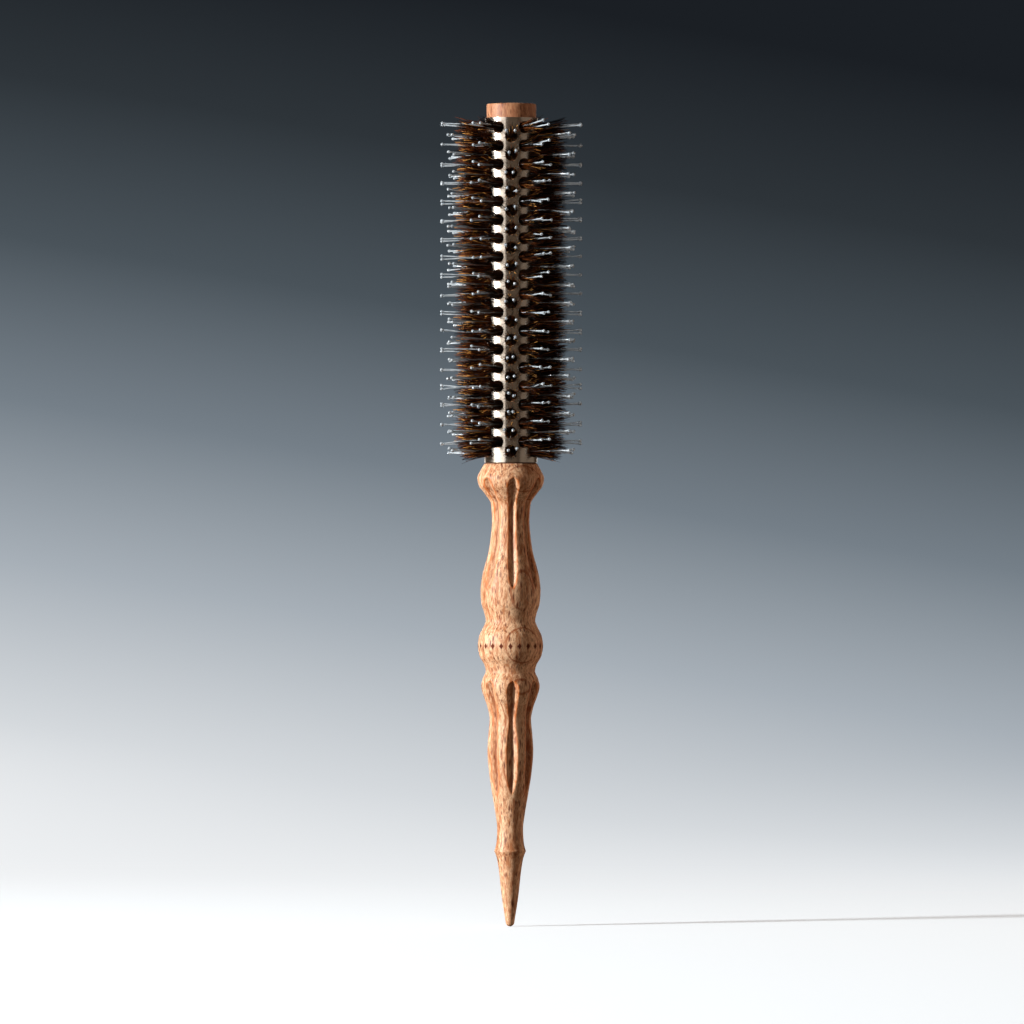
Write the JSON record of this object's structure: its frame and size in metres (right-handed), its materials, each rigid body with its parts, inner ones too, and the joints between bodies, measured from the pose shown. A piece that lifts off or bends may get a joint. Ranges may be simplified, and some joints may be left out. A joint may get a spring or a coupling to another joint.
{
  "type": "round barrel brush",
  "caption": "Slim round hair brush with a pierced metal barrel, bristle tufts with ball-tipped quills, and a fluted turned wooden handle with a pointed tail.",
  "frame": {"origin": "centre of the grip ball on the brush axis", "axes": "+Z along the brush axis towards the end cap; -Y faces the first row of tufts"},
  "size_m": [0.0438, 0.0438, 0.254],
  "materials": {
    "handle_beech": "oiled satin",
    "core_beech": "raw",
    "cap_beech": "oiled satin",
    "sleeve_metal": "fine turned",
    "boar_bristle": "natural boar bristle",
    "quill_nylon": "translucent nylon",
    "anchor_wire": "drawn"
  },
  "bodies": {
    "root": {"handle": "handle_beech", "barrel_core": "core_beech", "barrel_sleeve": "sleeve_metal", "end_cap": "cap_beech", "bristle_row_01": "boar_bristle", "bristle_row_02": "boar_bristle", "bristle_row_03": "boar_bristle", "bristle_row_04": "boar_bristle", "bristle_row_05": "boar_bristle", "bristle_row_06": "boar_bristle", "bristle_row_07": "boar_bristle", "bristle_row_08": "boar_bristle", "bristle_row_09": "boar_bristle", "bristle_row_10": "boar_bristle", "bristle_row_11": "boar_bristle", "bristle_row_12": "boar_bristle", "quill_row_01": "quill_nylon", "quill_row_02": "quill_nylon", "quill_row_03": "quill_nylon", "quill_row_04": "quill_nylon", "quill_row_05": "quill_nylon", "quill_row_06": "quill_nylon", "quill_row_07": "quill_nylon", "quill_row_08": "quill_nylon", "quill_row_09": "quill_nylon", "quill_row_10": "quill_nylon", "quill_row_11": "quill_nylon", "quill_row_12": "quill_nylon", "anchor_row_01": "anchor_wire", "anchor_row_02": "anchor_wire", "anchor_row_03": "anchor_wire", "anchor_row_04": "anchor_wire", "anchor_row_05": "anchor_wire", "anchor_row_06": "anchor_wire", "anchor_row_07": "anchor_wire", "anchor_row_08": "anchor_wire", "anchor_row_09": "anchor_wire", "anchor_row_10": "anchor_wire", "anchor_row_11": "anchor_wire", "anchor_row_12": "anchor_wire"}
  },
  "joints": []
}
